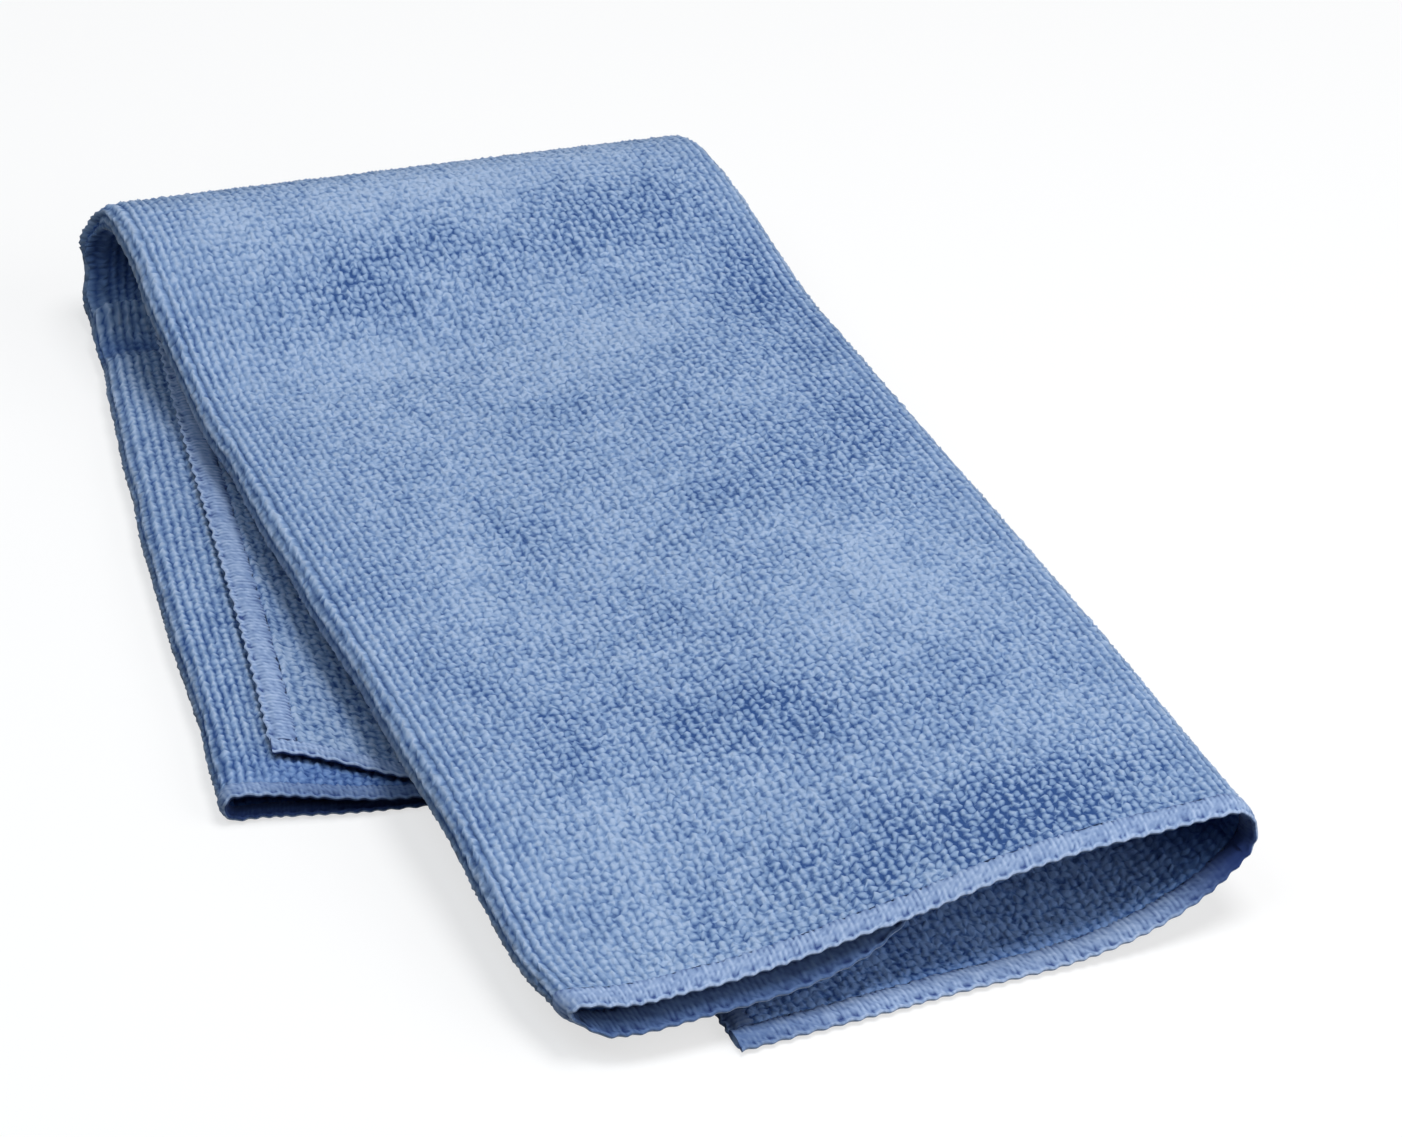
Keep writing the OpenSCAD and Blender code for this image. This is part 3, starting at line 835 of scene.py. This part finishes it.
class SideLine:
    """Cut side of the cloth between two borders."""

    def __init__(self, cloth, inner, depth, borders):
        self.cloth = cloth
        self.inner = inner
        self.depth = depth
        self.borders = borders
        self.length = cloth.run_between(0.0 if inner else cloth.sizes.cloth_w, borders)

    def at(self, run, depth_in, off):
        """Places on the cloth."""
        across = depth_in if self.inner else self.cloth.sizes.cloth_w - depth_in
        start, end = (self.cloth.row_y(across, off, border) for border in self.borders)
        return across, mix(start, end, np.clip(run / self.length, 0.0, 1.0))


def add_node(tree, kind, inputs=(), **options):
    """Adds a shader node, sets its options, and links or fills its inputs by their names or numbers."""
    node = tree.nodes.new("ShaderNode" + kind)
    for name, option in options.items():
        setattr(node, name, option)
    for key, value in dict(inputs).items():
        if isinstance(value, bpy.types.NodeSocket):
            tree.links.new(value, node.inputs[key])
        else:
            node.inputs[key].default_value = value
    return node


def new_material(name, surface):
    """Material that ends in a Principled shader with the given values of its surface."""
    material = bpy.data.materials.new(name)
    material.use_nodes = True
    tree = material.node_tree
    tree.nodes.clear()
    shader = add_node(tree, "BsdfPrincipled", surface)
    add_node(tree, "OutputMaterial", {"Surface": shader.outputs["BSDF"]})
    return material, tree, shader


def maths(tree, operation, *values, **options):
    """Result of a Math node with links or plain numbers as its inputs."""
    return add_node(tree, "Math", enumerate(values), operation=operation, **options).outputs[0]


def vector_maths(tree, operation, *values):
    """Results of a Vector Math node with links or plain vectors as its inputs."""
    return add_node(tree, "VectorMath", enumerate(values), operation=operation).outputs


def mixed(tree, a, b, share):
    """Value between a and b."""
    return maths(tree, "MULTIPLY_ADD", maths(tree, "SUBTRACT", b, a), share, a)


def mark(tree, name):
    """Value of a mark on the mesh."""
    return add_node(tree, "Attribute", attribute_name=name).outputs["Fac"]


def fibre_group():
    """Shader group: fine fibres of the yarn, as a height and as a light and dark tint."""
    name = "yarn fibres"
    if name in bpy.data.node_groups:
        return bpy.data.node_groups[name]
    group = bpy.data.node_groups.new(name, "ShaderNodeTree")
    inputs = {"Flat cloth": "NodeSocketVector", "Fibres per metre": "NodeSocketFloat"}
    for socket, kind in inputs.items():
        group.interface.new_socket(socket, in_out="INPUT", socket_type=kind)
    for socket in ("Height", "Tint"):
        group.interface.new_socket(socket, in_out="OUTPUT", socket_type="NodeSocketFloat")
    start = group.nodes.new("NodeGroupInput").outputs
    end = group.nodes.new("NodeGroupOutput").inputs
    flat = start["Flat cloth"]
    per_metre = start["Fibres per metre"]
    fine = add_node(
        group, "TexNoise", {"Vector": flat, "Scale": per_metre, "Detail": 3.0, "Roughness": 0.65}
    ).outputs["Fac"]
    broad = add_node(group, "TexNoise", {"Vector": flat, "Scale": 60.0, "Detail": 3.0}).outputs["Fac"]
    group.links.new(fine, end["Height"])
    group.links.new(mixed(group, fine, broad, 0.5), end["Tint"])
    return group


def ramp(tree, value, stops):
    """Colour ramp over a value."""
    node = add_node(tree, "ValToRGB", {"Fac": value})
    elements = node.color_ramp.elements
    while len(elements) < len(stops):
        elements.new(0.5)
    for element, (position, rgb) in zip(elements, stops):
        element.position = position
        element.color = (*rgb, 1.0)
    return node.outputs["Color"]


def with_painted_shade(tree, value, stops, shade_tint):
    """Colour ramp over a value, darker and bluer where painted shade lies on it."""
    # Painted shade: the deep mark darkens the value, and the tint mark mixes in the bluer shade tint
    deeper = maths(tree, "MULTIPLY", value, maths(tree, "SUBTRACT", 1.0, mark(tree, "deep")))
    inputs = {"Factor": mark(tree, "dye"), "A": ramp(tree, deeper, stops), "B": (*shade_tint, 1.0)}
    return add_node(tree, "Mix", inputs, data_type="RGBA", blend_type="MULTIPLY").outputs["Result"]


def fibres_on(tree, per_metre):
    """Places the yarn fibres on a material, by the flat cloth's map."""
    flat = add_node(tree, "UVMap", uv_map="flat_cloth").outputs["UV"]
    inputs = {"Flat cloth": flat, "Fibres per metre": per_metre}
    return add_node(tree, "Group", inputs, node_tree=fibre_group()).outputs


def finish_cloth(tree, shader, base_colour, height, strength, distance):
    """Gives a material of the cloth its colour, and a small relief from a height."""
    tree.links.new(base_colour, shader.inputs["Base Color"])
    bump = add_node(tree, "Bump", {"Height": height, "Strength": strength, "Distance": distance})
    tree.links.new(bump.outputs["Normal"], shader.inputs["Normal"])


def loop_beads(tree):
    """Loop heads along the pile's rows: their shape, a shade for each, and how deep the gaps are."""
    loose = 0.5
    head_stretch = (1.45, 1.0, 0.0)
    head_edge, head_top = 0.72, 0.12
    rows = add_node(tree, "UVMap", uv_map="pile_rows").outputs["UV"]
    offset = (0.5 - loose / 2, 0.5 - loose / 2, 0.0)
    centred = vector_maths(tree, "SUBTRACT", rows, offset)["Vector"]
    cells = add_node(
        tree, "TexVoronoi", {"Vector": centred, "Scale": 1.0, "Randomness": loose}, voronoi_dimensions="2D"
    ).outputs
    from_head = vector_maths(tree, "SUBTRACT", centred, cells["Position"])["Vector"]
    stretched = vector_maths(tree, "MULTIPLY", from_head, head_stretch)["Vector"]
    distance = vector_maths(tree, "LENGTH", stretched)["Value"]
    head = add_node(
        tree,
        "MapRange",
        {"Value": distance, "From Min": head_edge, "From Max": head_top},
        interpolation_type="SMOOTHSTEP",
    )
    shade = add_node(tree, "SeparateColor", {"Color": cells["Color"]})
    gaps = add_node(tree, "TexNoise", {"Vector": rows, "Scale": 1.5, "Detail": 1.0}, noise_dimensions="2D")
    return head.outputs["Result"], shade.outputs["Red"], gaps.outputs["Fac"]


CLOTH_SHEEN = {"Sheen Weight": 0.04, "Sheen Roughness": 0.5}


def terry_material(colours):
    """Looped microfibre: loop heads painted light, painted shade in the gaps between them, and soft patches
    of nap.
    """
    surface = {"Roughness": 0.95, "Specular IOR Level": 0.1, "Sheen Tint": (0.75, 0.83, 1.0, 1.0)}
    material, tree, shader = new_material("terry pile", {**CLOTH_SHEEN, **surface})
    fibres = fibres_on(tree, 1600.0)
    head, shade, depth = loop_beads(tree)
    loop = mark(tree, "loop")
    nap = mark(tree, "nap")
    roll = mark(tree, "roll")

    # Heads with a random tone of their own and painted shade in the gaps that the nap opens, over the mesh's
    # own loops, whose heads are painted lighter than their gaps
    open_gap = maths(tree, "ADD", maths(tree, "MULTIPLY_ADD", depth, 3.0, -1.4), nap, use_clamp=True)
    gap = maths(tree, "MULTIPLY", maths(tree, "SUBTRACT", 1.0, head), open_gap)
    bead = maths(tree, "SUBTRACT", maths(tree, "MULTIPLY_ADD", shade, 0.4, 0.62), gap)
    bead_share, roll_rows, brushed_light = 0.65, 0.72, 0.75
    lit = mixed(tree, loop, bead, bead_share)
    lit = mixed(tree, lit, loop, maths(tree, "MULTIPLY", roll, roll_rows))
    value = mixed(tree, lit, brushed_light, maths(tree, "MULTIPLY_ADD", nap, -0.4, 0.4))

    # Fibres of the yarn, darker open nap, and painted shade in the furrows between the rows on the rolls
    furrow = maths(tree, "SUBTRACT", loop, 0.42)
    for more in (
        maths(tree, "MULTIPLY_ADD", fibres["Tint"], 0.6, -0.3),
        maths(tree, "MULTIPLY_ADD", nap, -0.2, 0.1),
        maths(tree, "MULTIPLY", furrow, maths(tree, "MULTIPLY", roll, 0.35)),
    ):
        value = maths(tree, "ADD", value, more)
    # Painted light and shade over the pile's blue, and the folds' painted shade over it all
    stops = [(0.0, colours.loop_dark), (0.42, colours.loop_mid), (0.85, colours.loop_light)]
    base_colour = with_painted_shade(tree, value, stops, colours.shade_tint)
    relief = maths(tree, "MULTIPLY_ADD", fibres["Height"], 0.5, head)
    finish_cloth(tree, shader, base_colour, relief, strength=0.5, distance=0.35 * MM)
    return material


def thread_material(colours):
    """Overlock thread: soft pale bars painted lit on top and shaded at the sides, and painted shade in the
    needle holes behind the edge cord.
    """
    surface = {"Roughness": 0.9, "Specular IOR Level": 0.15}
    material, tree, shader = new_material("overlock thread", {**CLOTH_SHEEN, **surface})
    fibres = fibres_on(tree, 2200.0)
    fibre = maths(tree, "MULTIPLY_ADD", fibres["Tint"], 0.5, -0.25)
    value = maths(tree, "ADD", mark(tree, "bar"), fibre)
    # Painted light and shade over the thread's blue, and the folds' painted shade over it all
    stops = [(0.0, colours.thread_dark), (0.4, colours.thread_mid), (0.9, colours.thread_light)]
    base_colour = with_painted_shade(tree, value, stops, colours.thread_shade_tint)
    finish_cloth(tree, shader, base_colour, fibres["Height"], strength=0.35, distance=0.15 * MM)
    return material


def material_once(name, make, colours):
    """A material that several pieces share."""
    return bpy.data.materials.get(name) or make(colours)


def folded_cloth(scene):
    """The fold, from the scene's settings."""
    return FoldedCloth(scene.cloth_fold, scene.cloth_creases)


def borders_of(cloth, stitches, half):
    """The two borders along the strip of a half or of the cross fold: an end hem's inner line, or a fold."""
    if half == "upper":
        return [("upper", stitches.upper_depth), ("fold", 0.0)]
    if half == "lower":
        return [("fold", cloth.fold_len), ("lower", stitches.lower_depth)]
    return [("fold", 0.0), ("fold", cloth.fold_len)]


def panels_of(cloth, stitches, half):
    """The three panels of one half: left with the inner flap, middle, and right with the outer flap."""
    edge = "edge" if half == "cross_fold" else "fold"
    layers = {
        "left": [f"left_{edge}", "inner_flap"],
        "middle": ["base_layer" if half == "lower" else "top_layer"],
        "right": [f"right_{edge}", "outer_flap"],
    }
    end = cloth.sizes.cloth_w - stitches.side_depth
    lines = [stitches.side_depth, cloth.left_end, cloth.right_start, end]
    borders = borders_of(cloth, stitches, half)
    panels = []
    for number, part in enumerate(layers):
        nodes = [f"{half}_{layer}" for layer in layers[part]]
        sides = lines[number : number + 2]
        seed = PILE_SEEDS[half] + number
        panels.append(ClothPanel(f"{half}_{part}_pile", nodes, part, sides, borders, seed))
    return panels


def follow(piece, half):
    """Lets a piece ride with its half; a piece of the cross fold has its place baked into its mesh."""
    if half == "upper":
        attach(piece, UPPER)
    elif half == "lower":
        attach(piece, LOWER)
    else:
        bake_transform(piece)


def add_pile(context, half):
    """Makes the three pile panels of one half."""
    scene = context.scene
    cloth = folded_cloth(scene)
    material = material_once("terry pile", terry_material, scene.cloth_colours)
    for panel in panels_of(cloth, scene.cloth_stitches, half):
        piece = pile_panel(cloth, scene.cloth_pile, panel)
        piece.data.materials.append(material)
        follow(piece, half)
        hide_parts(*panel.nodes)


def hem_lines(cloth, stitches):
    """Each hem's node, its half and the cut edge that it follows."""
    lines = []
    for half in ("upper", "cross_fold", "lower"):
        borders = borders_of(cloth, stitches, half)
        for border in borders:
            if border[0] != "fold":
                lines.append((f"{half}_end_hem", half, EndLine(cloth, border)))
        lines.append((f"{half}_inner_hem", half, SideLine(cloth, True, stitches.side_depth, borders)))
        lines.append((f"{half}_outer_hem", half, SideLine(cloth, False, stitches.side_depth, borders)))
    return lines


class CLOTH_OT_upper_pile(bpy.types.Operator):
    """Make the looped pile of the upper half."""

    bl_idname = "cloth.upper_pile"
    bl_label = "Upper half's pile"

    def execute(self, context):
        add_pile(context, "upper")
        return {"FINISHED"}


class CLOTH_OT_cross_fold_pile(bpy.types.Operator):
    """Make the looped pile of the cross fold."""

    bl_idname = "cloth.cross_fold_pile"
    bl_label = "Cross fold's pile"

    def execute(self, context):
        add_pile(context, "cross_fold")
        return {"FINISHED"}


class CLOTH_OT_lower_pile(bpy.types.Operator):
    """Make the looped pile of the lower half."""

    bl_idname = "cloth.lower_pile"
    bl_label = "Lower half's pile"

    def execute(self, context):
        add_pile(context, "lower")
        return {"FINISHED"}


class CLOTH_OT_hems(bpy.types.Operator):
    """Make the overlocked hems, and let those of the two halves ride with them."""

    bl_idname = "cloth.hems"
    bl_label = "Overlocked hems"

    def execute(self, context):
        scene = context.scene
        cloth = folded_cloth(scene)
        material = material_once("overlock thread", thread_material, scene.cloth_colours)
        for number, (node, half, line) in enumerate(hem_lines(cloth, scene.cloth_stitches)):
            piece = hem_piece(cloth, scene.cloth_stitches, f"{node}_overlock", line, HEM_SEED + number)
            piece.data.materials.append(material)
            follow(piece, half)
            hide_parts(node)
        return {"FINISHED"}


class CLOTH_OT_studio(bpy.types.Operator):
    """Make the floor, the soft light and the camera."""

    bl_idname = "cloth.studio"
    bl_label = "Studio"

    def execute(self, context):
        scene = context.scene
        add_floor(scene.cloth_colours)
        add_lights(scene)
        add_camera(scene)
        scene.view_settings.view_transform = "Standard"
        return {"FINISHED"}


def add_floor(colours):
    """Plain pale floor that keeps the shadow and is nearly white to the camera."""
    half_width, drop = 3.0, 0.1 * MM
    glow_strength = 0.68
    bm = bmesh.new()
    bmesh.ops.create_grid(bm, x_segments=1, y_segments=1, size=half_width)
    bmesh.ops.translate(bm, verts=bm.verts[:], vec=(0.0, 0.0, -drop))
    mesh = bpy.data.meshes.new("studio floor")
    bm.to_mesh(mesh)
    bm.free()
    new_object("studio_floor", mesh)
    surface = {"Base Color": (*colours.floor, 1.0), "Roughness": 0.9, "Specular IOR Level": 0.0}
    material, tree, shader = new_material("pale floor", surface)
    to_camera = add_node(tree, "LightPath").outputs["Is Camera Ray"]
    strength = maths(tree, "MULTIPLY", to_camera, glow_strength)
    glow = add_node(tree, "Emission", {"Color": WHITE, "Strength": strength})
    both = add_node(tree, "AddShader", enumerate([shader.outputs["BSDF"], glow.outputs["Emission"]]))
    tree.links.new(both.outputs["Shader"], tree.nodes["Material Output"].inputs["Surface"])
    mesh.materials.append(material)


def add_soft_light(name, place, size, watts, tint=WHITE[:3]):
    """Large soft lamp that points at the cloth."""
    lamp = bpy.data.lights.new(name, "AREA")
    lamp.shape = "DISK"
    lamp.size = size
    lamp.energy = watts
    lamp.color = tint
    light = new_object(name, lamp)
    light.location = place
    light.rotation_euler = (-Vector(place)).to_track_quat("-Z", "Y").to_euler()


def add_lights(scene):
    """Soft light overhead, weaker ones at the right and high at the left, and faint light all round."""
    studio = scene.cloth_studio
    add_soft_light("key light", (0.15, -0.1, 1.0), 0.5, studio.key_power)
    add_soft_light("fill light", (0.6, -0.6, 0.5), 0.8, studio.fill_power)
    add_soft_light("side light", (-0.4, -0.1, 0.8), 0.5, studio.side_power, studio.side_tint)
    world = bpy.data.worlds.new("studio")
    world.use_nodes = True
    tree = world.node_tree
    rays = add_node(tree, "LightPath").outputs
    strength = studio.ambient
    for seen in ("Is Camera Ray", "Is Glossy Ray", "Is Transmission Ray"):
        strength = maths(tree, "MAXIMUM", rays[seen], strength)
    background = tree.nodes["Background"]
    background.inputs["Color"].default_value = WHITE
    tree.links.new(strength, background.inputs["Strength"])
    scene.world = world


def add_camera(scene):
    """Camera at the photograph's angle."""
    studio = scene.cloth_studio
    aim = Vector((studio.aim_x, studio.aim_y, 0.0))
    flat = math.cos(studio.elevation)
    away = Vector(
        (math.sin(studio.azimuth) * flat, -math.cos(studio.azimuth) * flat, math.sin(studio.elevation))
    )
    lens = bpy.data.cameras.new("camera")
    lens.sensor_fit = "HORIZONTAL"
    lens.sensor_width = 36.0
    lens.lens = studio.lens
    lens.clip_start = 0.01
    camera = new_object("camera", lens)
    level = (-away).to_track_quat("-Z", "Y").to_matrix().to_4x4()
    turned = level @ Matrix.Rotation(studio.roll, 4, "Z")
    camera.matrix_world = Matrix.Translation(aim + away * studio.distance) @ turned
    scene.camera = camera


class CLOTH_PT_sidebar(bpy.types.Panel):
    """Lists the steps that build the cloth and its studio."""

    bl_idname = "CLOTH_PT_sidebar"
    bl_label = "Folded terry cloth"
    bl_space_type = "VIEW_3D"
    bl_region_type = "UI"
    bl_category = "Cloth"

    def draw(self, context):
        for operator in OPERATORS:
            self.layout.operator(operator.bl_idname)


SETTINGS = {
    "cloth_fold": ClothFoldSizes,
    "cloth_creases": ClothCreaseSizes,
    "cloth_pile": ClothPileSizes,
    "cloth_stitches": ClothStitchSizes,
    "cloth_colours": ClothColours,
    "cloth_studio": ClothStudio,
}
OPERATORS = [
    CLOTH_OT_upper_pile,
    CLOTH_OT_cross_fold_pile,
    CLOTH_OT_lower_pile,
    CLOTH_OT_hems,
    CLOTH_OT_studio,
]


def register():
    """Adds the settings, the operators and the panel."""
    for name, settings in SETTINGS.items():
        bpy.utils.register_class(settings)
        setattr(bpy.types.Scene, name, PointerProperty(type=settings))
    for operator in OPERATORS:
        bpy.utils.register_class(operator)
    bpy.utils.register_class(CLOTH_PT_sidebar)


def unregister():
    """Takes the settings, the operators and the panel away."""
    bpy.utils.unregister_class(CLOTH_PT_sidebar)
    for operator in reversed(OPERATORS):
        bpy.utils.unregister_class(operator)
    for name, settings in reversed(SETTINGS.items()):
        delattr(bpy.types.Scene, name)
        bpy.utils.unregister_class(settings)


def main():
    """Builds the pieces in order."""
    register()
    bpy.ops.cloth.upper_pile()
    bpy.ops.cloth.cross_fold_pile()
    bpy.ops.cloth.lower_pile()
    bpy.ops.cloth.hems()
    bpy.ops.cloth.studio()


if __name__ == "__main__":
    main()
